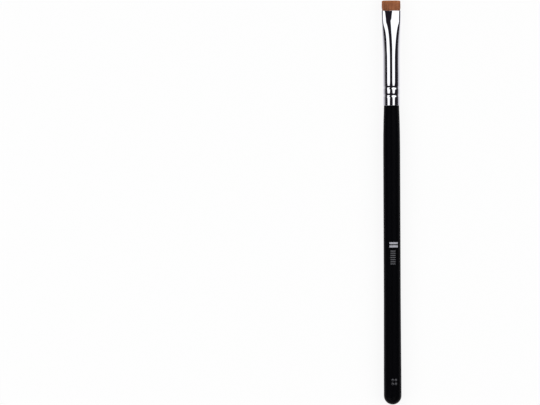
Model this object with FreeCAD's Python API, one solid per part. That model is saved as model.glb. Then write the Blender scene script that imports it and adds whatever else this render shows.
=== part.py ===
import FreeCAD, Part
import math
import os

from FreeCAD import Vector

# The brush lies on its side: butt at -X, bristle tips at +X, flat of the ferrule up.
# Lengths in mm. Places along the brush are measured from the round butt.

# Whole brush
handle_length = 125.8
ferrule_length = 39.9
tuft_length = 4.3

# Handle: turned wood, full at the butt and drawn in where it enters the ferrule
butt_diameter = 7.4
stand_band_length = 8.0
taper_length = 34.0
waist_diameter = 7.14
neck_length = 18.8
tenon_length = 13.0
tenon_chamfer = 0.6

# Ferrule: drawn metal tube, round at the handle and pressed flat at the mouth
ferrule_wall = 0.3
barrel_diameter = 7.16
mouth_width = 8.16
mouth_thickness = 3.2
mouth_face_radius = 10.5
crease_width = 8.0
crease_thickness = 3.7
crease_face_radius = 7.6
flat_length = 4.4
press_length = 15.0
rim_chamfer = 0.08

# Crimps: two rings rolled into the ferrule, each biting a groove of the tenon
first_crimp_inset = 4.25
crimp_pitch = 3.25
crimp_width = 1.7
crimp_depth = 0.12

# Glue: a film round the tenon past the crimps, and a plug round the bristle roots
glue_film = 0.08
plug_over_roots = 3.5
plug_under_roots = 2.0

# Tuft: bristles packed into the mouth, nipped in at their roots
tuft_width = 7.98
tuft_thickness = 2.8
tip_width = 7.84
tip_thickness = 2.2
root_depth = 10.0
root_margin = 0.25
mouth_clearance = 0.02
bristle_diameter = 0.16
bristle_gap = 0.02
bristle_tip_diameter = 0.08
core_clearance = 0.04
core_tip_inset = 0.12

# Shares, powers and counts
press_steps = 11
press_width_power = 1.4
press_thickness_power = 2.5
press_angle_power = 2.0
belly_share = 0.35
bristle_sides = 4

# Places along the brush
total_length = handle_length + ferrule_length + tuft_length
axis_height = butt_diameter / 2
mouth = handle_length + ferrule_length
crease = mouth - flat_length
barrel_end = crease - press_length
tenon_end = handle_length + tenon_length
tenon_shoulder = tenon_end - tenon_chamfer
root_end = mouth - root_depth
tip = mouth + tuft_length
first_crimp = handle_length + first_crimp_inset
crimps = (first_crimp, first_crimp + crimp_pitch)

# Radii of what nests in the round part of the ferrule
barrel_radius = barrel_diameter / 2
bore_radius = barrel_radius - ferrule_wall
tenon_radius = bore_radius - glue_film


def spot(along, side, up):
    """A point at a place along the brush, set off sideways and upward from its axis."""
    return Vector(along - total_length / 2, side, axis_height + up)


def line(start, end):
    return Part.makeLine(spot(start[0], 0, start[1]), spot(end[0], 0, end[1]))


def lines(points):
    return [line(start, end) for start, end in zip(points, points[1:])]


def arc(*points):
    return Part.Arc(*[spot(place, 0, radius) for place, radius in points]).toShape()


def bow(*points):
    """A slight curve through (place, radius) points."""
    curve = Part.BSplineCurve()
    curve.interpolate([spot(place, 0, radius) for place, radius in points])
    return curve.toShape()


def spin(edges):
    """The solid swept about the brush's axis by a closed outline."""
    face = Part.Face(Part.Wire(edges))
    return face.revolve(spot(0, 0, 0), Vector(1, 0, 0), 360)


# Handle

def grip_edges():
    """The handle's side from the round butt to the neck that enters the ferrule."""
    butt, waist = butt_diameter / 2, waist_diameter / 2
    band_end = butt + stand_band_length
    taper_end = band_end + taper_length
    neck_start = handle_length - neck_length
    neck_middle = (handle_length - neck_length / 2, waist - (waist - tenon_radius) / 4)
    slope = math.cos(math.pi / 4)
    edges = [arc((0, 0), (butt * (1 - slope), butt * slope), (butt, butt))]
    edges += lines([(butt, butt), (band_end, butt), (taper_end, waist), (neck_start, waist)])
    edges.append(bow((neck_start, waist), neck_middle, (handle_length, tenon_radius)))
    return edges


def crimped_points(radius):
    """Corners along a round wall that both crimps press in."""
    points = []
    for centre in crimps:
        points.append((centre - crimp_width / 2, radius))
        points.append((centre, radius - crimp_depth))
        points.append((centre + crimp_width / 2, radius))
    return points


def handle():
    tenon = [(handle_length, tenon_radius)] + crimped_points(tenon_radius)
    tenon += [(tenon_shoulder, tenon_radius), (tenon_end, tenon_radius - tenon_chamfer)]
    return spin(grip_edges() + lines(tenon + [(tenon_end, 0), (0, 0)]))


# Ferrule: ovals of four arcs, from the round barrel to the pressed mouth

def oval_radii(half_width, half_thickness, angle):
    """Radii of the broad faces and of the tight ends, which meet at an angle off upright."""
    apart = (half_width - half_thickness) / (math.cos(angle) + math.sin(angle) - 1)
    return half_thickness + apart * math.cos(angle), half_width - apart * math.sin(angle)


def quarter_runs(half_width, half_thickness, angle):
    """Lengths of face and of end in a quarter of the way round."""
    face, end = oval_radii(half_width, half_thickness, angle)
    return face * angle, end * (math.pi / 2 - angle)


def turning_angle(half_width, half_thickness, face_radius):
    """Where faces of a known radius turn into the ends of an oval."""
    end = half_width ** 2 + half_thickness ** 2 - 2 * face_radius * half_thickness
    end /= 2 * (half_width - face_radius)
    return math.atan2(half_width - end, face_radius - half_thickness)


def mouth_angle():
    return turning_angle(mouth_width / 2, mouth_thickness / 2, mouth_face_radius)


def crease_angle():
    return turning_angle(crease_width / 2, crease_thickness / 2, crease_face_radius)


def round_angle():
    """The crease's turning place on the round barrel, by its share of the way round."""
    face_run, end_run = quarter_runs(crease_width / 2, crease_thickness / 2, crease_angle())
    return math.pi / 2 * face_run / (face_run + end_run)


def oval_wire(along, half_width, half_thickness, angle):
    face, _ = oval_radii(half_width, half_thickness, angle)
    side = face * math.sin(angle)
    up = half_thickness - face * (1 - math.cos(angle))
    corners = [(side, up), (-side, up), (-side, -up), (side, -up)]
    crowns = [(0, half_thickness), (-half_width, 0), (0, -half_thickness), (half_width, 0)]
    edges = []
    for number, crown in enumerate(crowns):
        points = corners[number], crown, corners[(number + 1) % len(corners)]
        edges.append(Part.Arc(*[spot(along, *point) for point in points]).toShape())
    return Part.Wire(edges)


def press_oval(along, inset):
    """Half width, half thickness and turning angle of the ferrule at a place past its barrel."""
    run = (along - barrel_end) / press_length
    if run <= 1:
        wide = barrel_diameter + (crease_width - barrel_diameter) * run ** press_width_power
        thick = barrel_diameter + (crease_thickness - barrel_diameter) * run ** press_thickness_power
        angle = round_angle() + (crease_angle() - round_angle()) * run ** press_angle_power
    else:
        run = (along - crease) / flat_length
        wide = crease_width + (mouth_width - crease_width) * run
        thick = crease_thickness + (mouth_thickness - crease_thickness) * run
        angle = crease_angle() + (mouth_angle() - crease_angle()) * run
    return wide / 2 - inset, thick / 2 - inset, angle


def pressed_solid(inset):
    """The pressed part: round to flat at the crease, then straight to the mouth."""
    places = [barrel_end + press_length * step / press_steps for step in range(press_steps + 1)]
    wires = [oval_wire(place, *press_oval(place, inset)) for place in places + [mouth]]
    return Part.makeLoft(wires, True, True)


def barrel_outside():
    """The round part with both crimps rolled in by a round-nosed wheel."""
    edges = []
    place = handle_length
    for centre in crimps:
        near, far = centre - crimp_width / 2, centre + crimp_width / 2
        edges.append(line((place, barrel_radius), (near, barrel_radius)))
        edges.append(arc((near, barrel_radius), (centre, barrel_radius - crimp_depth),
                         (far, barrel_radius)))
        place = far
    return spin(edges + lines([(place, barrel_radius), (barrel_end, barrel_radius), (barrel_end, 0),
                               (handle_length, 0), (handle_length, barrel_radius)]))


def barrel_bore():
    points = [(handle_length, bore_radius)] + crimped_points(bore_radius)
    points += [(barrel_end, bore_radius), (barrel_end, 0), (handle_length, 0)]
    return spin(lines(points + points[:1]))


def is_cut_end(face):
    """Whether a face is a square cut across the brush."""
    return isinstance(face.Surface, Part.Plane) and abs(face.Surface.Axis.x) > math.cos(math.pi / 6)


def ferrule():
    body = barrel_outside().fuse(pressed_solid(0))
    shell = body.cut(barrel_bore().fuse(pressed_solid(ferrule_wall)))
    rims = [edge for face in shell.Faces if is_cut_end(face) for edge in face.OuterWire.Edges]
    return shell.makeChamfer(rim_chamfer, rims)


# Tuft: one packed core inside a layer of single bristles

def tuft_stations():
    """Place, half width and half thickness of the tuft from its roots to its tips."""
    wide, thick, _ = press_oval(mouth, ferrule_wall + mouth_clearance)
    root_wide = press_oval(root_end, ferrule_wall + root_margin)[0]
    return [
        (root_end, root_wide, thick * root_wide / wide),
        (mouth, wide, thick),
        (mouth + tuft_length * belly_share, tuft_width / 2, tuft_thickness / 2),
        (tip, tip_width / 2, tip_thickness / 2),
    ]


def tuft_solid(inset, tip_inset):
    """The tuft's whole form, set in all round and stopped short of the tips."""
    wires = []
    for place, wide, thick in tuft_stations():
        end = min(place, tip - tip_inset)
        wires.append(oval_wire(end, wide - inset, thick - inset, mouth_angle()))
    return Part.makeLoft(wires, True, True)


def oval_point(half_width, half_thickness, share):
    """The point a share of the way round an oval, as offsets sideways and upward."""
    angle = mouth_angle()
    face, end = oval_radii(half_width, half_thickness, angle)
    face_run, end_run = quarter_runs(half_width, half_thickness, angle)
    quarter, part = divmod(share * 4, 1)
    walk = (1 - part if quarter % 2 else part) * (face_run + end_run)
    if walk < face_run:
        turn = walk / face
        side, up = face * math.sin(turn), half_thickness - face * (1 - math.cos(turn))
    else:
        turn = angle + (walk - face_run) / end
        side, up = half_width - end * (1 - math.sin(turn)), end * math.cos(turn)
    return (side if quarter < 2 else -side), (up if quarter in (0, 3) else -up)


def bristle_count():
    """How many bristles stand side by side round the tightest section of the tuft."""
    rounds = []
    for _, wide, thick in tuft_stations():
        inset = bristle_diameter / 2
        rounds.append(4 * sum(quarter_runs(wide - inset, thick - inset, mouth_angle())))
    return int(min(rounds) / (bristle_diameter + bristle_gap))


def bristle(share):
    """One outer bristle, from its glued root to its thinned tip."""
    inset = bristle_diameter / 2
    wires = []
    for place, wide, thick in tuft_stations():
        side, up = oval_point(wide - inset, thick - inset, share)
        girth = bristle_tip_diameter if place == tip else bristle_diameter
        corners = []
        for number in range(bristle_sides + 1):
            turn = 2 * math.pi * number / bristle_sides
            corners.append(spot(place, side + girth / 2 * math.cos(turn),
                                up + girth / 2 * math.sin(turn)))
        wires.append(Part.makePolygon(corners))
    return Part.makeLoft(wires, True, True)


def bristle_core():
    return tuft_solid(bristle_diameter + core_clearance, core_tip_inset)


def outer_bristles():
    count = bristle_count()
    return Part.makeCompound([bristle(number / count) for number in range(count)])


# Glue

def tenon_glue():
    start = crimps[-1] + crimp_width / 2
    length = tenon_shoulder - start
    outside = Part.makeCylinder(bore_radius, length, spot(start, 0, 0), Vector(1, 0, 0))
    return outside.cut(Part.makeCylinder(tenon_radius, length, spot(start, 0, 0), Vector(1, 0, 0)))


def root_glue():
    start = root_end - plug_under_roots
    end = root_end + plug_over_roots
    slab = Part.makeBox(end - start, mouth_width, butt_diameter,
                        spot(start, -mouth_width / 2, -axis_height))
    return pressed_solid(ferrule_wall).common(slab).cut(tuft_solid(0, 0))


os.makedirs("parts", exist_ok=True)
handle().exportStep("parts/handle.step")
ferrule().exportStep("parts/ferrule.step")
tenon_glue().exportStep("parts/tenon_glue.step")
root_glue().exportStep("parts/root_glue.step")
bristle_core().exportStep("parts/bristle_core.step")
outer_bristles().exportStep("parts/outer_bristles.step")
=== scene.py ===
# %% [markdown]
# # An eyeshadow brush on a white table
#
# The brush lies on its side with the flat of its ferrule up, and the camera looks down on it. Its
# solids come from the CAD frame. This lesson gives them their looks: a lacquered wooden handle, a
# mirror-bright ferrule, a tuft of single bristles and a little silver print.

# %% Open the frame
import math

import bpy
import numpy as np
from mathutils import Matrix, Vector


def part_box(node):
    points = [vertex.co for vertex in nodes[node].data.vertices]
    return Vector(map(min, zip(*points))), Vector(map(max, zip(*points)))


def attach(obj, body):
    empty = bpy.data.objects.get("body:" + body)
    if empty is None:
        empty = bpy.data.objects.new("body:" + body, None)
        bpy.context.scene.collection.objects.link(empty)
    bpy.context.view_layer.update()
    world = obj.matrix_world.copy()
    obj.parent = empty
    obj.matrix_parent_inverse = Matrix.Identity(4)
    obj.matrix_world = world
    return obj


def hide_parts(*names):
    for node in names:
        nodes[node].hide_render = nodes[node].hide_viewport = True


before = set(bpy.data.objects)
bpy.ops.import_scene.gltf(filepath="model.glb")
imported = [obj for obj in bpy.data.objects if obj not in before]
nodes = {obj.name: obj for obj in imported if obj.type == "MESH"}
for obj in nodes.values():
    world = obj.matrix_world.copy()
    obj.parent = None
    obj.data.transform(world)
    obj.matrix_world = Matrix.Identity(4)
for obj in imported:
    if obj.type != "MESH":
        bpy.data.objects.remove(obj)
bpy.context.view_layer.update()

print("nodes:", ", ".join(sorted(nodes)))

# %% [markdown]
# ## Places along the brush
#
# Every new piece has to sit exactly on the solids. The main places are therefore read from the
# frame and not typed in: the butt, the collar where the handle enters the ferrule, the mouth where
# the bristles leave it, and the tips. Only sizes that no box can show, such as the depth of a
# crimp, are repeated further down from the construction.

# %% Measure the brush
MM = 0.001

butt_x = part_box("handle")[0].x
collar_x, mouth_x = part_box("ferrule")[0].x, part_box("ferrule")[1].x
root_x, tip_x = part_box("outer_bristles")[0].x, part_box("outer_bristles")[1].x
axis_z = (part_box("ferrule")[0].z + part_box("ferrule")[1].z) / 2
brush_length = tip_x - butt_x
print(f"brush {brush_length / MM:.1f} mm, ferrule {(mouth_x - collar_x) / MM:.1f} mm,"
      f" bristles show {(tip_x - mouth_x) / MM:.1f} mm, axis {axis_z / MM:.2f} mm up")

# %% [markdown]
# ## The camera
#
# The picture is 540 by 405 pixels. The brush stands upright in it, tips at the top, a good way
# right of the middle, and leans by a quarter of a degree. A very long lens keeps both ends the
# same size. The camera is moved sideways to put the brush off centre, because a lens shift would
# stay on when the camera goes round the object. It also swings four degrees to the left round the
# brush: the dark reflection on the flat of the ferrule sits left of the middle, and a mirror shows
# by such a shift where it was seen from.

# %% Look down on the brush
PICTURE_WIDTH = 540
MM_PER_PIXEL = 0.4208
BRUSH_RIGHT_OF_CENTRE = 121.9
LEAN = math.radians(-0.234)
SWING = math.radians(-4.0)
LENS = 400

camera_data = bpy.data.cameras.new("top_camera")
camera_data.lens = LENS
camera = bpy.data.objects.new("top_camera", camera_data)
bpy.context.scene.collection.objects.link(camera)
bpy.context.scene.camera = camera

picture_span = PICTURE_WIDTH * MM_PER_PIXEL * MM
camera_height = LENS / camera_data.sensor_width * picture_span
sideways = BRUSH_RIGHT_OF_CENTRE * MM_PER_PIXEL * MM
over_brush = Matrix.Translation((0, 0, axis_z)) @ Matrix.Rotation(SWING, 4, "X")
camera.matrix_world = (over_brush @ Matrix.Rotation(LEAN - math.pi / 2, 4, "Z")
                       @ Matrix.Translation((-sideways, 0, camera_height)))
camera_data.clip_end = 2 * camera_height
view_tilt = math.degrees(math.atan2(sideways, camera_height) - SWING)
print(f"camera {camera_height:.2f} m up, brush seen {view_tilt:.1f} degrees off upright")

# %% [markdown]
# ## A world that is white to the eye and dim as a light
#
# The brush is shown on plain white. A ground that is only lit to white would need so much light
# that the brush burns out. So the world is white for the rays that look at it, straight or in a
# mirror, and dim for the rays that carry its light to the brush. The Light Path node tells the two
# apart. Two small helpers, for links and for sums, keep this tree and all later ones short.

# %% The world
AMBIENT = 0.34


def join(tree, source, target):
    tree.links.new(source, target)


def maths(tree, operation, *values):
    """One sum in a node tree, whose values are numbers or sockets."""
    node = tree.nodes.new("ShaderNodeMath")
    node.operation = operation
    for socket, value in zip(node.inputs, values):
        if isinstance(value, (int, float)):
            socket.default_value = value
        else:
            join(tree, value, socket)
    return node.outputs[0]


def seen_directly(tree):
    """A value of 1 for camera, mirror and glass rays, and 0 for the rays that only carry light."""
    path = tree.nodes.new("ShaderNodeLightPath")
    value = maths(tree, "MAXIMUM", path.outputs["Is Camera Ray"], path.outputs["Is Glossy Ray"])
    return maths(tree, "MAXIMUM", value, path.outputs["Is Transmission Ray"])


world = bpy.data.worlds.new("white_studio")
bpy.context.scene.world = world
world.use_nodes = True
sky = world.node_tree
sky.nodes.clear()
sky_out = sky.nodes.new("ShaderNodeOutputWorld")
dim, white = sky.nodes.new("ShaderNodeBackground"), sky.nodes.new("ShaderNodeBackground")
dim.inputs["Strength"].default_value = AMBIENT
for background in (dim, white):
    background.inputs["Color"].default_value = (1, 1, 1, 1)
sky_mix = sky.nodes.new("ShaderNodeMixShader")
join(sky, seen_directly(sky), sky_mix.inputs["Fac"])
join(sky, dim.outputs[0], sky_mix.inputs[1])
join(sky, white.outputs[0], sky_mix.inputs[2])
join(sky, sky_mix.outputs[0], sky_out.inputs["Surface"])
print("world: white to the eye, strength", AMBIENT, "as a light")

# %% [markdown]
# ## The table
#
# The table does the same. Most of it is a surface that looks white, and a small share is ordinary
# matt white, which is the part that takes the shadow of the brush. That share fades out away from
# the brush, so that the table runs into the white world with no horizon.

# %% The table's finish
TABLE_WHITE_SHARE = 0.88
TABLE_GREY = 0.93
WHITE_FROM, WHITE_OVER = 0.2, 0.5


def new_finish(name):
    """A material whose tree is empty apart from its output."""
    material = bpy.data.materials.new(name)
    material.use_nodes = True
    tree = material.node_tree
    tree.nodes.clear()
    return material, tree, tree.nodes.new("ShaderNodeOutputMaterial")


def clamp(tree, value):
    return maths(tree, "MINIMUM", maths(tree, "MAXIMUM", value, 0), 1)


table_finish, tree, output = new_finish("white_table")
matt = tree.nodes.new("ShaderNodeBsdfDiffuse")
matt.inputs["Color"].default_value = (TABLE_GREY, TABLE_GREY, TABLE_GREY, 1)
glow = tree.nodes.new("ShaderNodeEmission")
glow.inputs["Color"].default_value = (1, 1, 1, 1)
place = tree.nodes.new("ShaderNodeTexCoord")
distance = tree.nodes.new("ShaderNodeVectorMath")
distance.operation = "LENGTH"
join(tree, place.outputs["Object"], distance.inputs[0])
far = maths(tree, "DIVIDE", maths(tree, "SUBTRACT", distance.outputs["Value"], WHITE_FROM), WHITE_OVER)
white_share = maths(tree, "MULTIPLY_ADD", clamp(tree, far), 1 - TABLE_WHITE_SHARE, TABLE_WHITE_SHARE)
table_mix = tree.nodes.new("ShaderNodeMixShader")
join(tree, maths(tree, "MULTIPLY", seen_directly(tree), white_share), table_mix.inputs["Fac"])
join(tree, matt.outputs[0], table_mix.inputs[1])
join(tree, glow.outputs[0], table_mix.inputs[2])
join(tree, table_mix.outputs[0], output.inputs["Surface"])
print("table white:", TABLE_WHITE_SHARE, "of it near the brush, all of it further out")

# %% [markdown]
# ## The table, laid
#
# A real sweep of paper would curve up behind the brush. With a white world there is no need of
# that: a flat sheet is enough, if it is large enough for its edge to be far away in every view. It
# isn't attached to the brush, because it doesn't belong to it.

# %% Lay the table
TABLE_HALF = 4.0


def flat_sheet(name, half_length, half_width, height, finish):
    """A flat sheet round the middle of the brush, which belongs to the studio."""
    corners = [(-half_length, -half_width, height), (half_length, -half_width, height),
               (half_length, half_width, height), (-half_length, half_width, height)]
    mesh = bpy.data.meshes.new(name)
    mesh.from_pydata(corners, [], [(0, 1, 2, 3)])
    mesh.materials.append(finish)
    sheet = bpy.data.objects.new(name, mesh)
    bpy.context.scene.collection.objects.link(sheet)
    return sheet


flat_sheet("table", TABLE_HALF, TABLE_HALF, 0, table_finish)
print("table reaches", TABLE_HALF, "m each way")

# %% [markdown]
# ## A tent for the mirror
#
# Polished metal has almost no colour of its own: what one sees in it is the studio. Photographers
# shoot such things inside a tent of white panels and black cards, so that bright and dark bands
# run along the tube and show that it is round. Area lights could be the panels, but here the bands
# need exact edges. So the tent is one half-round sheet with the panels painted on by its nodes,
# and only reflections see it.
#
# A mirror doubles angles, so a band's edge at some angle on the tube stands at twice that angle
# round it. Angles go round the brush from where the camera sees it, and grow to the picture's
# right. Each edge of a panel has an angle beside the brush, an angle ahead of the tips and the two
# places between which it swings from one to the other, because panels never hang quite in line.
# Towards the butt both panels narrow by a few degrees at each edge. Two more hang behind the butt,
# for the views from the tips' side.

# %% Measure out the panels
TENT_RADIUS = 0.6
TENT_START, TENT_END = -0.9, 1.2
PANEL_START, TAIL_END = 0.0, -0.26
PANELS = (((-57.5, -61.5, 0.07, 0.088), (-19, -32, 0.07, 0.36)),
          ((13, 4, 0.115, 0.31), (47.5, 72, 0.06, 0.24)))
PANEL_TAPER = (3.8, 0, 0.0535, 0.0585)


def steady(angle):
    """An edge that keeps its angle, on the panels behind the butt."""
    return angle, angle, TENT_START, TAIL_END


TAIL_PANELS = ((steady(-84), steady(-36)), (steady(8), steady(40)))
print("tent:", TENT_RADIUS, "m round the brush, two panels over it and two behind")

# %% [markdown]
# ## Panels as sums
#
# Each panel could be a sheet of its own, but a swinging edge would need a bent outline. As sums of
# the place on the tent, an edge is one line of numbers and its softness is another. A place is on
# the panel when it lies inside both edges, so the two sums are multiplied, and those of two panels
# are added.

# %% Sums for the panels
EDGE_SOFTNESS, END_SOFTNESS = 1.5, 0.03


def swing(tree, along, line):
    """A value that goes from one number to another between two places along the brush."""
    swung = tree.nodes.new("ShaderNodeMapRange")
    for socket, value in zip(("To Min", "To Max", "From Min", "From Max"), line):
        swung.inputs[socket].default_value = value
    join(tree, along, swung.inputs["Value"])
    return swung.outputs["Result"]


def one_panel(tree, along, turn, edges, taper):
    """0 to 1 over a panel between its left and its right edge, each pulled in by a taper."""
    inside = []
    for edge, way in zip(edges, (1, -1)):
        beyond = maths(tree, "MULTIPLY", maths(tree, "SUBTRACT", turn, swing(tree, along, edge)), way)
        beyond = maths(tree, "SUBTRACT", beyond, taper)
        inside.append(clamp(tree, maths(tree, "DIVIDE", beyond, EDGE_SOFTNESS)))
    return maths(tree, "MULTIPLY", *inside)


def pair_of_panels(tree, along, turn, panels, taper, x_end, way):
    """Two panels that start at a place along the brush, or end there where way is -1."""
    pair = [one_panel(tree, along, turn, edges, taper) for edges in panels]
    reach = maths(tree, "DIVIDE", maths(tree, "SUBTRACT", along, x_end), way * END_SOFTNESS)
    return maths(tree, "MULTIPLY", maths(tree, "ADD", *pair), clamp(tree, reach))


print("panel edges soften over", EDGE_SOFTNESS, "degrees, panel ends over", END_SOFTNESS, "m")

# %% [markdown]
# ## The panels, painted
#
# The sums go into one finish for the whole tent. A panel glows brighter than white, because the
# plating takes part of its light away. A card is what lies between panels: black, with a trace of
# purple.

# %% Paint the panels
PANEL_GLOW = 1.45
CARD_COLOUR = (0.0175, 0.014, 0.0196)


def blend_colours(tree, value, first, second):
    """A colour between two, by a value."""
    mix = tree.nodes.new("ShaderNodeMix")
    mix.data_type = "RGBA"
    mix.inputs["A"].default_value = (*first, 1)
    mix.inputs["B"].default_value = (*second, 1)
    join(tree, value, mix.inputs["Factor"])
    return mix.outputs["Result"]


tent_finish, tree, output = new_finish("panels_and_cards")
place = tree.nodes.new("ShaderNodeTexCoord")
axes = tree.nodes.new("ShaderNodeSeparateXYZ")
join(tree, place.outputs["Object"], axes.inputs["Vector"])
to_right = maths(tree, "MULTIPLY", axes.outputs["Y"], -1)
turn = maths(tree, "DEGREES", maths(tree, "ARCTAN2", to_right, axes.outputs["Z"]))
turn = maths(tree, "ADD", turn, view_tilt)
along = axes.outputs["X"]
taper = swing(tree, along, PANEL_TAPER)
panel = maths(tree, "ADD", pair_of_panels(tree, along, turn, PANELS, taper, PANEL_START, 1),
              pair_of_panels(tree, along, turn, TAIL_PANELS, 0, TAIL_END, -1))
glow = tree.nodes.new("ShaderNodeEmission")
join(tree, blend_colours(tree, clamp(tree, panel), CARD_COLOUR, (PANEL_GLOW, PANEL_GLOW, PANEL_GLOW)),
     glow.inputs["Color"])
join(tree, glow.outputs[0], output.inputs["Surface"])
print("panels painted, with cards between them")

# %% [markdown]
# ## The tent, put up
#
# The tent is half a tube over the brush, with the table as its floor. It is closed behind the butt
# and open ahead of the tips, where the white world shows. The camera, the lamps and the shadows
# must not meet it, so it is switched off for every kind of ray but those of reflections.

# %% Put up the tent
TENT_SIDES = 48


def only_in_reflections(thing):
    thing.visible_camera = False
    thing.visible_diffuse = False
    thing.visible_transmission = False
    thing.visible_volume_scatter = False
    thing.visible_shadow = False


tent_points, tent_faces = [], []
for number, angle in enumerate(np.linspace(-math.pi / 2, math.pi / 2, TENT_SIDES + 1)):
    y, z = -math.sin(angle) * TENT_RADIUS, math.cos(angle) * TENT_RADIUS
    tent_points += [(TENT_START, y, z), (TENT_END, y, z)]
    if number:
        tent_faces.append((2 * number - 2, 2 * number - 1, 2 * number + 1, 2 * number))
tent_faces.append(tuple(range(0, len(tent_points), 2)))
tent_mesh = bpy.data.meshes.new("tent")
tent_mesh.from_pydata(tent_points, [], tent_faces)
tent_mesh.materials.append(tent_finish)
tent = bpy.data.objects.new("tent", tent_mesh)
tent.location.z = axis_z
bpy.context.scene.collection.objects.link(tent)
only_in_reflections(tent)
print("tent:", len(tent_faces), "faces, open towards the tips")

# %% [markdown]
# ## The table in the mirror
#
# The tube shows the table too, as pale bands along its edges. What it shows is one sheet laid on
# the table, only for reflections, with painted shade: white beside the brush, painted darker further
# out as the tent's shade, and a painted contact shadow right under the brush, which is what sets the
# tube down on it. The painted shade reaches further to the right than to the left. The ramp runs
# with the distance from the brush, and the painted shadow under it is a second, narrow ramp.

# %% The table's shade
SHADE_HALF_LENGTH, SHADE_REACH, SHADE_HEIGHT = 0.3, 0.58, 0.02 * MM
SHADE_STOPS = ((0, 1), (0.01, 1), (0.017, 0.8), (0.026, 0.5), (0.043, 0.2), (0.09, 0.06), (1, 0.04))
RIGHT_SHARE = 0.5
UNDER_SHADOW_START, UNDER_SHADOW_END, UNDER_SHADOW_LEVEL = 0.8 * MM, 3.6 * MM, 0.06
TABLE_CAST = (1, 0.97, 1.01)


def grey_ramp(tree, value, stops):
    """A ramp of greys through stops, each a place and a level."""
    ramp = tree.nodes.new("ShaderNodeValToRGB")
    elements = ramp.color_ramp.elements
    while len(elements) < len(stops):
        elements.new(1)
    for element, (where, level) in zip(elements, stops):
        element.position = where
        element.color = (level, level, level, 1)
    join(tree, value, ramp.inputs["Fac"])
    return ramp.outputs["Color"]


shade_finish, tree, output = new_finish("table_in_shade")
place = tree.nodes.new("ShaderNodeTexCoord")
axes = tree.nodes.new("ShaderNodeSeparateXYZ")
join(tree, place.outputs["Object"], axes.inputs["Vector"])
# Painted shade for reflections: the sheet is painted darker the further a place lies from the brush.
past_end = maths(tree, "SUBTRACT", maths(tree, "ABSOLUTE", axes.outputs["X"]), brush_length / 2)
past_end = maths(tree, "MAXIMUM", past_end, 0)
# The painted shade is stretched to reach further out on the picture's right.
beside = maths(tree, "MULTIPLY", axes.outputs["Y"], -RIGHT_SHARE)
beside = maths(tree, "MAXIMUM", axes.outputs["Y"], beside)
away = maths(tree, "SQRT", maths(tree, "ADD", maths(tree, "POWER", past_end, 2),
                                 maths(tree, "POWER", beside, 2)))
away = maths(tree, "DIVIDE", away, SHADE_REACH)
# Painted contact shadow: the sheet is painted dark within a few millimetres under the brush.
clear = maths(tree, "SUBTRACT", maths(tree, "ABSOLUTE", axes.outputs["Y"]), UNDER_SHADOW_START)
clear = maths(tree, "DIVIDE", maths(tree, "ADD", clear, past_end), UNDER_SHADOW_END - UNDER_SHADOW_START)
clear = maths(tree, "MULTIPLY_ADD", clamp(tree, clear), 1 - UNDER_SHADOW_LEVEL, UNDER_SHADOW_LEVEL)
glow = tree.nodes.new("ShaderNodeEmission")
glow.inputs["Color"].default_value = (*TABLE_CAST, 1)
join(tree, maths(tree, "MULTIPLY", grey_ramp(tree, away, SHADE_STOPS), clear), glow.inputs["Strength"])
join(tree, glow.outputs[0], output.inputs["Surface"])
shade = flat_sheet("shaded_table", SHADE_HALF_LENGTH, SHADE_REACH, SHADE_HEIGHT, shade_finish)
only_in_reflections(shade)
print("table in the mirror: white by the brush, shaded", SHADE_REACH, "m out")

# %% [markdown]
# ## Softboxes
#
# The light itself comes from two long softboxes over the brush, one at each side. One lamp would
# leave a side of the tuft in the dark. They are kept out of the reflections, which the tent
# already fills, so they can be as large and as soft as the tuft and the lacquer like them.

# %% Two softboxes
SOFTBOX_DISTANCE, SOFTBOX_WIDTH, SOFTBOX_LENGTH = 0.6, 0.45, 1.2
SOFTBOX_RADIANCE = 1.5
SOFTBOX_ANGLE = 42


def softbox(name, degrees):
    """A long area light at an angle round the brush, facing it."""
    angle = math.radians(degrees)
    light = bpy.data.lights.new(name, "AREA")
    light.shape = "RECTANGLE"
    light.size, light.size_y = SOFTBOX_LENGTH, SOFTBOX_WIDTH
    light.energy = SOFTBOX_RADIANCE * math.pi * SOFTBOX_LENGTH * SOFTBOX_WIDTH
    lamp = bpy.data.objects.new(name, light)
    lamp.location = (0, -math.sin(angle) * SOFTBOX_DISTANCE,
                     axis_z + math.cos(angle) * SOFTBOX_DISTANCE)
    lamp.rotation_euler = (angle, 0, 0)
    lamp.visible_camera = False
    lamp.visible_glossy = False
    bpy.context.scene.collection.objects.link(lamp)
    print(f"{name}: {degrees} degrees round, {light.energy:.1f} W")


softbox("left_softbox", -SOFTBOX_ANGLE)
softbox("right_softbox", SOFTBOX_ANGLE)

# %% [markdown]
# ## The ferrule, as ovals
#
# The real ferrule is a drawn metal tube. Its handle end stays round and is rolled with two crimp
# rings, and the other end is pressed flat. The solid has the same form in a few broad strips,
# which a mirror finish would show as facets. A subdivision surface would smooth them, but also
# wash out the crimps. So the visible tube is woven again as a fine net of rings, each an oval of
# four arcs: two broad faces and two tight ends that meet without a kink.

# %% Ovals of four arcs
MOUTH_SIZE = 4.08 * MM, 1.6 * MM, 11.2 * MM
CREASE_SIZE = 4.0 * MM, 1.85 * MM, 7.6 * MM


def oval_radii(half_width, half_thickness, angle):
    """Radii of the broad faces and of the tight ends, which meet at an angle off upright."""
    apart = (half_width - half_thickness) / (math.cos(angle) + math.sin(angle) - 1)
    return half_thickness + apart * math.cos(angle), half_width - apart * math.sin(angle)


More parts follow.
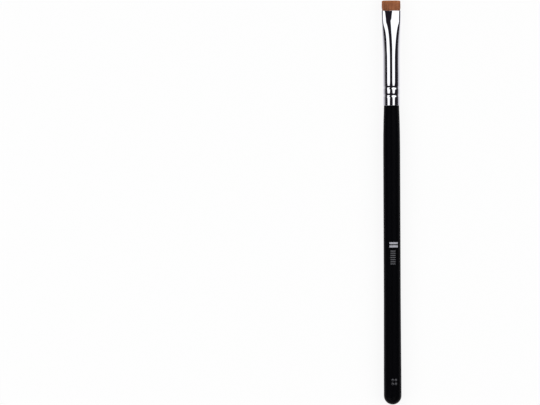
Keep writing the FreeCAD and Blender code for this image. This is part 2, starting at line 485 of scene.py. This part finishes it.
def oval_points(half_width, half_thickness, angle, shares):
    """Points the given shares of the way round an oval, as sideways and upward offsets."""
    face, end = oval_radii(half_width, half_thickness, angle)
    face_run, end_run = face * angle, end * (math.pi / 2 - angle)
    quarter = np.floor(shares * 4) % 4
    part = shares * 4 - np.floor(shares * 4)
    walk = np.where(quarter % 2 == 1, 1 - part, part) * (face_run + end_run)
    on_face = walk < face_run
    turn = np.where(on_face, walk / face, angle + (walk - face_run) / end)
    side = np.where(on_face, face * np.sin(turn), half_width - end * (1 - np.sin(turn)))
    up = np.where(on_face, half_thickness - face * (1 - np.cos(turn)), end * np.cos(turn))
    side = np.where(quarter < 2, side, -side)
    up = np.where((quarter == 0) | (quarter == 3), up, -up)
    return side, up


def whole_oval(half_width, half_thickness, face_radius):
    """An oval from its size and the radius of its faces: half width, half thickness and angle."""
    end = half_width ** 2 + half_thickness ** 2 - 2 * face_radius * half_thickness
    end /= 2 * (half_width - face_radius)
    return np.array((half_width, half_thickness,
                     math.atan2(half_width - end, face_radius - half_thickness)))


mouth_oval, crease_oval = whole_oval(*MOUTH_SIZE), whole_oval(*CREASE_SIZE)
print(f"mouth's ends turn on {oval_radii(*mouth_oval)[1] / MM:.2f} mm,"
      f" {math.degrees(mouth_oval[2]):.1f} degrees off its face")

# %% [markdown]
# ## The ferrule, along its length
#
# The press starts gently in the round barrel, steepens towards a crease, and leaves a short flat
# up to the mouth. Powers of the way along give that swing: the tube widens early and thins late.
# Pressed metal has no sharp crease, so the form is averaged over a millimetre or so to each side.
# The two crimps are plain waves of a roller, a tenth of a millimetre deep.

# %% The tube's form
BARREL_HALF = 3.58 * MM
FLAT_LENGTH, PRESS_LENGTH = 4.4 * MM, 15 * MM
PRESS_POWERS = np.array((1.4, 2.5, 2))
CREASE_SOFTNESS, CREASE_SAMPLES, OUTER_WEIGHT = 1.2 * MM, 15, 0.1
CRIMPS = (collar_x + 4.25 * MM, collar_x + 7.5 * MM)
CRIMP_WIDTH, CRIMP_DEPTH = 1.7 * MM, 0.12 * MM

crease_x = mouth_x - FLAT_LENGTH
press_start = crease_x - PRESS_LENGTH
face, end = oval_radii(*crease_oval)
face_run, end_run = face * crease_oval[2], end * (math.pi / 2 - crease_oval[2])
round_oval = np.array((BARREL_HALF, BARREL_HALF, math.pi / 2 * face_run / (face_run + end_run)))
sample_steps = np.linspace(-1, 1, CREASE_SAMPLES)
sample_weights = 1 + OUTER_WEIGHT - np.abs(sample_steps)


def crimp_drop(x):
    """How far the two rolled rings press the wall in at a place."""
    drop = 0
    for centre in CRIMPS:
        if abs(x - centre) < CRIMP_WIDTH / 2:
            drop += CRIMP_DEPTH * (1 + math.cos(2 * math.pi * (x - centre) / CRIMP_WIDTH)) / 2
    return drop


def sharp_oval(x):
    """The tube's oval at a place, with a sharp crease. The flat levels out towards the mouth."""
    run = min(max((x - press_start) / PRESS_LENGTH, 0), 1)
    flat = min(max((x - crease_x) / FLAT_LENGTH, 0), 1)
    pressed = round_oval + (crease_oval - round_oval) * run ** PRESS_POWERS
    return pressed + (mouth_oval - crease_oval) * np.array((flat, flat * (2 - flat), flat))


def tube_oval(x, inset):
    """The tube's oval at a place, the crease rounded over, set in by a depth of wall."""
    ovals = [weight * sharp_oval(x + step * CREASE_SOFTNESS)
             for weight, step in zip(sample_weights, sample_steps)]
    half_width, half_thickness, angle = sum(ovals) / sample_weights.sum()
    inset += crimp_drop(x)
    return half_width - inset, half_thickness - inset, angle


print(f"press runs {PRESS_LENGTH / MM:.0f} mm to the crease, flat {FLAT_LENGTH / MM:.1f} mm to the mouth")

# %% [markdown]
# ## The ferrule, as a net
#
# A mirror shows every ring of the net, so rings lie close where the form turns quickly: in the
# crimps and round the crease. Outside and inside are joined by small rolled rims. Two rings close
# beside each rim keep its rounding from bleeding into the smooth shading of the wall.

# %% Rings of the tube
WALL = 0.3 * MM
RIM, RIM_STEPS = 0.08 * MM, 5
RIM_GUARDS = (1, 1.2, 2)
RING_POINTS = 192
CREASE_BEFORE, CREASE_AFTER = 1.5 * MM, 1.0 * MM

places = [collar_x + RIM * guard for guard in RIM_GUARDS]
for stop, steps in ((CRIMPS[0] - CRIMP_WIDTH / 2, 7), (CRIMPS[0] + CRIMP_WIDTH / 2, 28),
                    (CRIMPS[1] - CRIMP_WIDTH / 2, 4), (CRIMPS[1] + CRIMP_WIDTH / 2, 28),
                    (press_start, 9), (crease_x - CREASE_BEFORE, 45),
                    (crease_x + CREASE_AFTER, 40), (mouth_x - RIM * RIM_GUARDS[-1], 7)):
    places += list(np.linspace(places[-1], stop, steps + 1)[1:])
places += [mouth_x - RIM * guard for guard in reversed(RIM_GUARDS[:-1])]


def rim(x, way):
    """Rings that roll over an end of the tube, as place and inset, from outside to inside."""
    turns = np.linspace(0, math.pi / 2, RIM_STEPS + 1)
    rolled = [(x - way * RIM * (1 - math.sin(turn)), RIM * (1 - math.cos(turn))) for turn in turns]
    return rolled + [(place, WALL - inset) for place, inset in reversed(rolled)]


outside = [(x, 0) for x in places[:-1]]
inside = [(x, WALL) for x in reversed(places[1:-1])]
rings = outside + rim(mouth_x, 1) + inside + rim(collar_x, -1)[:0:-1]
around_shares = 1 - (np.arange(RING_POINTS) + 0.5) / RING_POINTS
tube_points = []
for x, inset in rings:
    side, up = oval_points(*tube_oval(x, inset), around_shares)
    tube_points.append(np.column_stack((np.full(RING_POINTS, x), side, axis_z + up)))
tube_points = np.concatenate(tube_points)
print("ferrule net:", len(rings), "rings of", RING_POINTS, "points")

# %% [markdown]
# ## Bright plating
#
# Plating over a polished tube is a mirror, though never a perfect one. Polishing leaves hair-fine
# lines round the tube, and handling leaves faint hazy patches. Both are too slight to see as marks
# and only soften the reflections here and there. A painted scratch map would be far too strong, so
# they go into the roughness and into a bump of a few thousandths of a millimetre.

# %% Plating finish
PLATING_DULL, PLATING_BRIGHT = (0.72, 0.735, 0.775), (0.78, 0.79, 0.82)
PLATING_ROUGHNESS = 0.02, 0.05
HAZE_SCALE, LINE_SCALE = (260, 420, 420), (9000, 300, 300)
LINE_STRENGTH, LINE_DEPTH = 0.02, 0.003 * MM
NOISE_LOW, NOISE_HIGH = 0.3, 0.7


def stretched_noise(tree, place, scale, detail):
    """Noise over object space, stretched by a different scale along each axis."""
    mapping = tree.nodes.new("ShaderNodeMapping")
    mapping.inputs["Scale"].default_value = scale
    noise = tree.nodes.new("ShaderNodeTexNoise")
    noise.inputs["Scale"].default_value = 1
    noise.inputs["Detail"].default_value = detail
    join(tree, place.outputs["Object"], mapping.inputs["Vector"])
    join(tree, mapping.outputs["Vector"], noise.inputs["Vector"])
    return noise.outputs["Fac"]


def spread(tree, value, low, high):
    """A noise value, which mostly keeps to its middle, carried over to a range."""
    carry = tree.nodes.new("ShaderNodeMapRange")
    carry.inputs["From Min"].default_value = NOISE_LOW
    carry.inputs["From Max"].default_value = NOISE_HIGH
    carry.inputs["To Min"].default_value = low
    carry.inputs["To Max"].default_value = high
    join(tree, value, carry.inputs["Value"])
    return carry.outputs["Result"]


def add_bump(tree, height, strength, distance, shader):
    """A bump of a height in metres under a shader's surface."""
    bump = tree.nodes.new("ShaderNodeBump")
    bump.inputs["Strength"].default_value = strength
    bump.inputs["Distance"].default_value = distance
    join(tree, height, bump.inputs["Height"])
    join(tree, bump.outputs["Normal"], shader.inputs["Normal"])


plating, tree, output = new_finish("bright_plating_polished")
metal = tree.nodes.new("ShaderNodeBsdfPrincipled")
metal.inputs["Metallic"].default_value = 1
place = tree.nodes.new("ShaderNodeTexCoord")
haze = stretched_noise(tree, place, HAZE_SCALE, detail=3)
lines = stretched_noise(tree, place, LINE_SCALE, detail=2)
join(tree, blend_colours(tree, spread(tree, haze, 0, 1), PLATING_DULL, PLATING_BRIGHT),
     metal.inputs["Base Color"])
join(tree, spread(tree, haze, *PLATING_ROUGHNESS), metal.inputs["Roughness"])
add_bump(tree, lines, LINE_STRENGTH, LINE_DEPTH, metal)
join(tree, metal.outputs[0], output.inputs["Surface"])
print("plating: roughness", PLATING_ROUGHNESS, "with polishing lines round the tube")

# %% [markdown]
# ## Weave the ferrule
#
# Each ring is joined to the next with four-sided faces, from the outside over the mouth's rim,
# back along the inside and over the collar's rim to the start. That gives one closed body with a
# wall, which is what the real tube is. It takes the place of the plain solid and rides with the
# brush.

# %% The polished tube
def ring_faces(ring_count, ring_points, closed):
    """Faces between rings that follow each other, and from the last to the first if closed."""
    faces = []
    for ring in range(ring_count if closed else ring_count - 1):
        here, there = ring * ring_points, (ring + 1) % ring_count * ring_points
        for point in range(ring_points):
            after = (point + 1) % ring_points
            faces.append((here + point, here + after, there + after, there + point))
    return faces


def new_piece(name, vertices, faces, finish, smooth=True):
    """A mesh piece that belongs to the brush and rides with it."""
    mesh = bpy.data.meshes.new(name)
    mesh.from_pydata([tuple(vertex) for vertex in vertices], [], faces)
    mesh.polygons.foreach_set("use_smooth", [smooth] * len(mesh.polygons))
    mesh.materials.append(finish)
    mesh.update()
    piece = bpy.data.objects.new(name, mesh)
    bpy.context.scene.collection.objects.link(piece)
    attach(piece, "root")
    return piece


tube = new_piece("polished_ferrule", tube_points, ring_faces(len(rings), RING_POINTS, True), plating)
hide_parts("ferrule")
print("ferrule:", len(tube.data.polygons), "faces")

# %% [markdown]
# ## The lacquered handle
#
# The handle is turned wood under a thick black lacquer with a satin sheen. The solid has the right
# form, so it stays and only gets a finish. Lacquer is never dead flat: it has a faint orange peel,
# and it is rubbed a little shinier where fingers hold it. The black is so deep that its low gloss
# has to be set with care, or the panels would turn it grey.

# %% Lacquer finish
LACQUER_DEEP, LACQUER_RUBBED = (0.0008, 0.0008, 0.0013), (0.0014, 0.0014, 0.0021)
LACQUER_GLOSS, LACQUER_ROUGHNESS = 0.04, (0.46, 0.36)
PEEL_SCALE, RUBBED_SCALE = (900, 1500, 1500), (30, 120, 120)
PEEL_STRENGTH, PEEL_DEPTH = 0.15, 0.01 * MM

lacquer, tree, output = new_finish("satin_black_lacquer")
coat = tree.nodes.new("ShaderNodeBsdfPrincipled")
coat.inputs["Specular IOR Level"].default_value = LACQUER_GLOSS
place = tree.nodes.new("ShaderNodeTexCoord")
peel = stretched_noise(tree, place, PEEL_SCALE, detail=3)
rubbed = stretched_noise(tree, place, RUBBED_SCALE, detail=2)
join(tree, blend_colours(tree, spread(tree, rubbed, 0, 1), LACQUER_DEEP, LACQUER_RUBBED),
     coat.inputs["Base Color"])
join(tree, spread(tree, rubbed, *LACQUER_ROUGHNESS), coat.inputs["Roughness"])
add_bump(tree, peel, PEEL_STRENGTH, PEEL_DEPTH, coat)
join(tree, coat.outputs[0], output.inputs["Surface"])
nodes["handle"].data.materials[0] = lacquer
print("handle lacquered, roughness", LACQUER_ROUGHNESS[1], "where it is rubbed")

# %% [markdown]
# ## Glue
#
# Two kinds of glue hold the brush together inside the ferrule: a film round the handle's tenon and
# a plug round the bristle roots. They are out of sight, but whoever takes the brush apart will find
# them, so their solids get the finish of cured epoxy: amber, a little cloudy and glossy.

# %% Glue finish
AMBER_DARK, AMBER_LIGHT = (0.5, 0.34, 0.16), (0.66, 0.5, 0.28)
EPOXY_ROUGHNESS = 0.15, 0.3
CLOUD_SCALE = (500, 500, 500)

epoxy, tree, output = new_finish("amber_epoxy")
resin = tree.nodes.new("ShaderNodeBsdfPrincipled")
place = tree.nodes.new("ShaderNodeTexCoord")
cloud = stretched_noise(tree, place, CLOUD_SCALE, detail=2)
join(tree, blend_colours(tree, spread(tree, cloud, 0, 1), AMBER_DARK, AMBER_LIGHT),
     resin.inputs["Base Color"])
join(tree, spread(tree, cloud, *EPOXY_ROUGHNESS), resin.inputs["Roughness"])
join(tree, resin.outputs[0], output.inputs["Surface"])
for name in ("tenon_glue", "root_glue"):
    nodes[name].data.materials[0] = epoxy
print("glue finished on tenon and roots")

# %% [markdown]
# ## The tuft, laid out
#
# The tuft is a dense bundle of fine brown filaments, nipped in the glue, pressed flat by the mouth
# and cut straight across. A solid with a hairy texture looks like felt at its edges, and a hair
# system would be lost in the exported model. So each filament is modelled as a thin tapering tube.
# A sunflower layout packs them evenly: each next one goes a golden share of the area further
# round, and a little further out from the middle.

# %% Filament layout
FILAMENTS = 2400
MOUTH_CLEARANCE = 0.02 * MM
OVAL_SAMPLES = 2001

mouth_half_width, mouth_half_thickness = mouth_oval[:2] - WALL - MOUTH_CLEARANCE
fine_shares = np.linspace(0, 1, OVAL_SAMPLES)
edge_side, edge_up = oval_points(mouth_half_width, mouth_half_thickness, mouth_oval[2],
                                 fine_shares % 1)
slices = np.abs(edge_side[:-1] * edge_up[1:] - edge_side[1:] * edge_up[:-1])
swept = np.concatenate(([0], np.cumsum(slices))) / slices.sum()
number = np.arange(FILAMENTS)
golden = (math.sqrt(5) - 1) / 2
around_share = np.interp((number * golden) % 1, swept, fine_shares) % 1
depth = np.sqrt((number + 0.5) / FILAMENTS)
print(FILAMENTS, "filaments laid out")

# %% [markdown]
# ## The tuft, from root to tip
#
# Inside the ferrule the bundle is drawn together in the glue. Past the mouth it swells to a slight
# belly and narrows again to the cut. Every filament follows that form. A seeded generator gives
# each its own small lean, and cuts it a trace short, more so at the corners, where a real tuft is
# worn round.

# %% Filament paths
FILAMENT_RADIUS, FILAMENT_TIP_RADIUS = 0.05 * MM, 0.032 * MM
ROOT_SCALE = 0.84
TUFT_HALF_WIDTH, TUFT_HALF_THICKNESS = 3.99 * MM, 1.4 * MM
TIP_HALF_WIDTH, TIP_HALF_THICKNESS = 3.92 * MM, 1.1 * MM
BELLY_SHARE = 0.35
LEAN_SIDE, LEAN_UP = 0.035 * MM, 0.03 * MM
UNEVEN_CUT, STRAY_SHARE, STRAY_CUT, CORNER_WEAR = 0.05 * MM, 0.06, 0.3 * MM, 0.22 * MM
CORNER_POWER, SEED = 8, 7


def tuft_form(share):
    """Half width and half thickness of the tuft a share of the way from mouth to tips."""
    if share < BELLY_SHARE:
        run = share / BELLY_SHARE
        run = run * run * (3 - 2 * run)
        return (mouth_half_width + (TUFT_HALF_WIDTH - mouth_half_width) * run,
                mouth_half_thickness + (TUFT_HALF_THICKNESS - mouth_half_thickness) * run)
    run = ((share - BELLY_SHARE) / (1 - BELLY_SHARE)) ** 2
    return (TUFT_HALF_WIDTH + (TIP_HALF_WIDTH - TUFT_HALF_WIDTH) * run,
            TUFT_HALF_THICKNESS + (TIP_HALF_THICKNESS - TUFT_HALF_THICKNESS) * run)


def filament_row(half_width, half_thickness):
    """Where every filament passes a section of the bundle, as sideways and upward offsets."""
    side, up = oval_points(half_width - FILAMENT_RADIUS, half_thickness - FILAMENT_RADIUS,
                           mouth_oval[2], around_share)
    return side * depth, up * depth


chance = np.random.default_rng(SEED)
lean_side = chance.normal(0, LEAN_SIDE, FILAMENTS)
lean_up = chance.normal(0, LEAN_UP, FILAMENTS)
shortfall = np.abs(chance.normal(0, UNEVEN_CUT, FILAMENTS))
shortfall += np.where(chance.random(FILAMENTS) < STRAY_SHARE, chance.random(FILAMENTS) * STRAY_CUT, 0)
side_tip, _ = filament_row(TIP_HALF_WIDTH, TIP_HALF_THICKNESS)
shortfall += CORNER_WEAR * np.abs(side_tip / TIP_HALF_WIDTH) ** CORNER_POWER
visible_length = tip_x - mouth_x - shortfall

tuft_shares = np.array([0, 0.12, 0.24, 0.36, 0.68, 1])
side, up = filament_row(mouth_half_width * ROOT_SCALE, mouth_half_thickness * ROOT_SCALE)
paths = [np.column_stack((np.full(FILAMENTS, root_x), side, axis_z + up))]
for share in tuft_shares:
    side, up = filament_row(*tuft_form(share))
    paths.append(np.column_stack((mouth_x + visible_length * share, side + lean_side * share ** 2,
                                  axis_z + up + lean_up * share ** 2)))
paths = np.stack(paths, axis=1)
print("filament paths:", paths.shape[1], "points each, longest", round(visible_length.max() / MM, 2),
      "mm past the mouth")

# %% [markdown]
# ## The tuft, as tubes
#
# A filament is so thin that five sides make it look round. Its rings stand upright across the
# brush, which is close enough to square on its path, and the last two shrink towards the tip. All
# tubes have the same faces, so these are listed once and repeated with a new start.

# %% Filament tubes
FILAMENT_SIDES = 5
TAPER_SHARE = 0.9

turns = np.arange(FILAMENT_SIDES) / FILAMENT_SIDES * 2 * math.pi
girth = np.full(paths.shape[1], FILAMENT_RADIUS)
girth[-2:] = FILAMENT_RADIUS * TAPER_SHARE, FILAMENT_TIP_RADIUS
tubes = np.repeat(paths[:, :, None, :], FILAMENT_SIDES, axis=2)
tubes[..., 1] += girth[:, None] * np.cos(turns)
tubes[..., 2] += girth[:, None] * np.sin(turns)
filament_points = paths.shape[1] * FILAMENT_SIDES
one_tube = ring_faces(paths.shape[1], FILAMENT_SIDES, False)
one_tube.append(tuple(reversed(range(FILAMENT_SIDES))))
one_tube.append(tuple(range(filament_points - FILAMENT_SIDES, filament_points)))
tube_faces = [tuple(corner + start for corner in face)
              for start in range(0, FILAMENTS * filament_points, filament_points)
              for face in one_tube]
print("each filament:", filament_points, "points,", len(one_tube), "faces")

# %% [markdown]
# ## Bristle colour
#
# Seen close, the tuft is not one brown: strands run from dark chestnut to a light orange brown,
# each nearly even along its length. The cut ends are painted paler, a painted glow of the light that
# shines through them. A noise texture would run across the strands. So each filament carries its
# own shade as a number on its points, and a ramp turns that number into a colour.

# %% Bristle finish
CHESTNUT_DARK, CHESTNUT, ORANGE_BROWN = (0.16, 0.05, 0.022), (0.36, 0.13, 0.056), (0.68, 0.26, 0.1)
BRISTLE_GLOSS, BRISTLE_ROUGHNESS = 0.35, (0.42, 0.6)
GRAIN_SCALE = (3000, 20000, 20000)

bristle, tree, output = new_finish("chestnut_filament")
fibre = tree.nodes.new("ShaderNodeBsdfPrincipled")
fibre.inputs["Specular IOR Level"].default_value = BRISTLE_GLOSS
shade_number = tree.nodes.new("ShaderNodeAttribute")
shade_number.attribute_name = "shade"
ramp = tree.nodes.new("ShaderNodeValToRGB")
ramp.color_ramp.elements[0].color = (*CHESTNUT_DARK, 1)
ramp.color_ramp.elements[1].color = (*ORANGE_BROWN, 1)
ramp.color_ramp.elements.new(0.5).color = (*CHESTNUT, 1)
join(tree, shade_number.outputs["Fac"], ramp.inputs["Fac"])
join(tree, ramp.outputs["Color"], fibre.inputs["Base Color"])
place = tree.nodes.new("ShaderNodeTexCoord")
grain = stretched_noise(tree, place, GRAIN_SCALE, detail=2)
join(tree, spread(tree, grain, *BRISTLE_ROUGHNESS), fibre.inputs["Roughness"])
join(tree, fibre.outputs[0], output.inputs["Surface"])
print("bristle finish: dark chestnut to orange brown")

# %% [markdown]
# ## The tuft, put together
#
# All filaments become one mesh, because thousands of separate objects would be slow and of no use.
# The shades are drawn from the same seeded generator as the leans, strand by strand, and each
# strand gets a little lighter from the glue to the cut, with a painted glow at the very tips for
# the light shining through them. The mesh takes the place of both bristle solids.

# %% The tuft
STRAND_MIDDLE, STRAND_SPREAD = 0.5, 0.16
ROOT_SHADE, MOUTH_SHADE, SHADE_GAIN, TIP_GLOW, TIP_GLOW_POWER = -0.1, -0.05, 0.1, 0.4, 8

tuft = new_piece("bristle_tuft", tubes.reshape(-1, 3), tube_faces, bristle)
strand_shade = np.clip(chance.normal(STRAND_MIDDLE, STRAND_SPREAD, FILAMENTS), 0, 1)
# Painted glow: the last share of each strand is painted lighter, for light shining through the cut ends.
along_shade_and_glow = MOUTH_SHADE + SHADE_GAIN * tuft_shares + TIP_GLOW * tuft_shares ** TIP_GLOW_POWER
along_shade_and_glow = np.concatenate(([ROOT_SHADE], along_shade_and_glow))
point_shade_and_glow = np.clip(strand_shade[:, None] + along_shade_and_glow[None, :], 0, 1)
layer = tuft.data.attributes.new("shade", "FLOAT", "POINT")
layer.data.foreach_set("value", np.repeat(point_shade_and_glow, FILAMENT_SIDES, axis=1).ravel())
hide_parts("bristle_core", "outer_bristles")
print("tuft:", len(tuft.data.polygons), "faces")

# %% [markdown]
# ## Silver print
#
# Handles like this carry a little foil print on one side, pressed through a thin film of silver.
# An image on the lacquer would need a picture file, and marks painted by nodes would blur. So each
# mark is its own thin film that follows the round of the handle and is rooted in its lacquer.

# %% Films that follow the handle
FILM_LIFT, FILM_ROOT = 0.004 * MM, 0.04 * MM
BAR_STEPS, DOT_CORNERS = 12, 24
PRINT_PLACES = butt_x + np.array((3.7, 11.7, 45.7, 107)) * MM
PRINT_RADII = np.array((3.7, 3.7, 3.57, 3.57)) * MM


def on_handle(x, side, lift):
    """A point over the handle at a place along it and a distance to the picture's right."""
    lacquer_radius = float(np.interp(x, PRINT_PLACES, PRINT_RADII))
    radius, turn = lacquer_radius + lift, side / lacquer_radius
    return x, -math.sin(turn) * radius, axis_z + math.cos(turn) * radius


def film_bar(x_start, x_end, side_start, side_end):
    """A bar of film as points and faces, in narrow strips so that it bends round."""
    vertices = []
    for side in np.linspace(side_start, side_end, BAR_STEPS + 1):
        vertices += [on_handle(x_end, side, FILM_LIFT), on_handle(x_start, side, FILM_LIFT),
                     on_handle(x_start, side, -FILM_ROOT), on_handle(x_end, side, -FILM_ROOT)]
    ends = [(3, 2, 1, 0), tuple(4 * BAR_STEPS + corner for corner in range(4))]
    return vertices, ring_faces(BAR_STEPS + 1, 4, False) + ends


def film_dot(x, side, radius):
    """A round dot of film."""
    vertices = []
    for lift in (FILM_LIFT, -FILM_ROOT):
        for turn in np.arange(DOT_CORNERS) / DOT_CORNERS * 2 * math.pi:
            vertices.append(on_handle(x + radius * math.cos(turn), side + radius * math.sin(turn), lift))
    top, bottom = tuple(reversed(range(DOT_CORNERS))), tuple(range(DOT_CORNERS, 2 * DOT_CORNERS))
    return vertices, ring_faces(2, DOT_CORNERS, False) + [top, bottom]


def joined(marks):
    """Several marks as one list of points and one of faces."""
    vertices, faces = [], []
    for mark_vertices, mark_faces in marks:
        start = len(vertices)
        vertices += mark_vertices
        faces += [tuple(corner + start for corner in face) for face in mark_faces]
    return vertices, faces


print(f"films stand {FILM_LIFT / MM:.3f} mm over the lacquer")

# %% [markdown]
# ## The marks
#
# The print is plain: two bright bars across the handle, a row of fine grey ticks under them and
# four small dots near the butt. Foil wears in patches, so its colour and its roughness vary
# together over a fraction of a millimetre.

# %% Foil finish
SILVER_WORN, SILVER_FRESH = (0.3, 0.3, 0.33), (0.45, 0.45, 0.5)
GREY_WORN, GREY_FRESH = (0.07, 0.07, 0.08), (0.11, 0.11, 0.12)
FOIL_GLOSS, FOIL_ROUGHNESS = 0.3, (0.5, 0.35)
WEAR_SCALE = (2500, 2500, 2500)


def foil_finish(name, worn, fresh):
    """Silver print, worn a little in patches."""
    foil, tree, output = new_finish(name)
    film = tree.nodes.new("ShaderNodeBsdfPrincipled")
    film.inputs["Specular IOR Level"].default_value = FOIL_GLOSS
    place = tree.nodes.new("ShaderNodeTexCoord")
    wear = stretched_noise(tree, place, WEAR_SCALE, detail=2)
    join(tree, blend_colours(tree, spread(tree, wear, 0, 1), worn, fresh), film.inputs["Base Color"])
    join(tree, spread(tree, wear, *FOIL_ROUGHNESS), film.inputs["Roughness"])
    join(tree, film.outputs[0], output.inputs["Surface"])
    return foil


bright_foil = foil_finish("silver_foil", SILVER_WORN, SILVER_FRESH)
grey_foil = foil_finish("grey_print", GREY_WORN, GREY_FRESH)
print("foil: a bright one and a grey one")

# %% [markdown]
# ## The marks, laid on
#
# Each group of marks is one piece, which belongs to the handle and rides with the brush. The marks
# are flat shaded, so that the thin edge of a film doesn't smear its shading over the top. Places
# are given along the brush from its middle, and sideways from the top line of the handle.

# %% Bars, ticks and dots
BAR_RUNS = ((-17.5 * MM, -16.7 * MM), (-18.9 * MM, -18.0 * MM))
BAR_LEFT, BAR_RIGHT = -1.45 * MM, 2.3 * MM
TICKS, FIRST_TICK, LAST_TICK, TICK_LENGTH = 7, -26 * MM, -20.6 * MM, 0.38 * MM
TICK_LEFT, TICK_RIGHT = -1.0 * MM, 1.15 * MM
DOT_PLACES, DOT_SIDES, DOT_RADIUS = (-74.6 * MM, -76.2 * MM), (-0.28 * MM, 1.08 * MM), 0.5 * MM

bars = joined([film_bar(start, end, BAR_LEFT, BAR_RIGHT) for start, end in BAR_RUNS])
ticks = joined([film_bar(x, x + TICK_LENGTH, TICK_LEFT, TICK_RIGHT)
                for x in np.linspace(FIRST_TICK, LAST_TICK, TICKS)])
dots = joined([film_dot(x, side, DOT_RADIUS) for x in DOT_PLACES for side in DOT_SIDES])
for name, (vertices, faces), finish in (("printed_bars", bars, bright_foil),
                                        ("printed_ticks", ticks, grey_foil),
                                        ("printed_dots", dots, grey_foil)):
    new_piece(name, vertices, faces, finish, smooth=False)
print("print: two bars, seven ticks, four dots")

# %% [markdown]
# ## Colours as set
#
# The Standard view leaves every colour as it was set.

# %% Keep the colours as set
bpy.context.scene.view_settings.view_transform = "Standard"
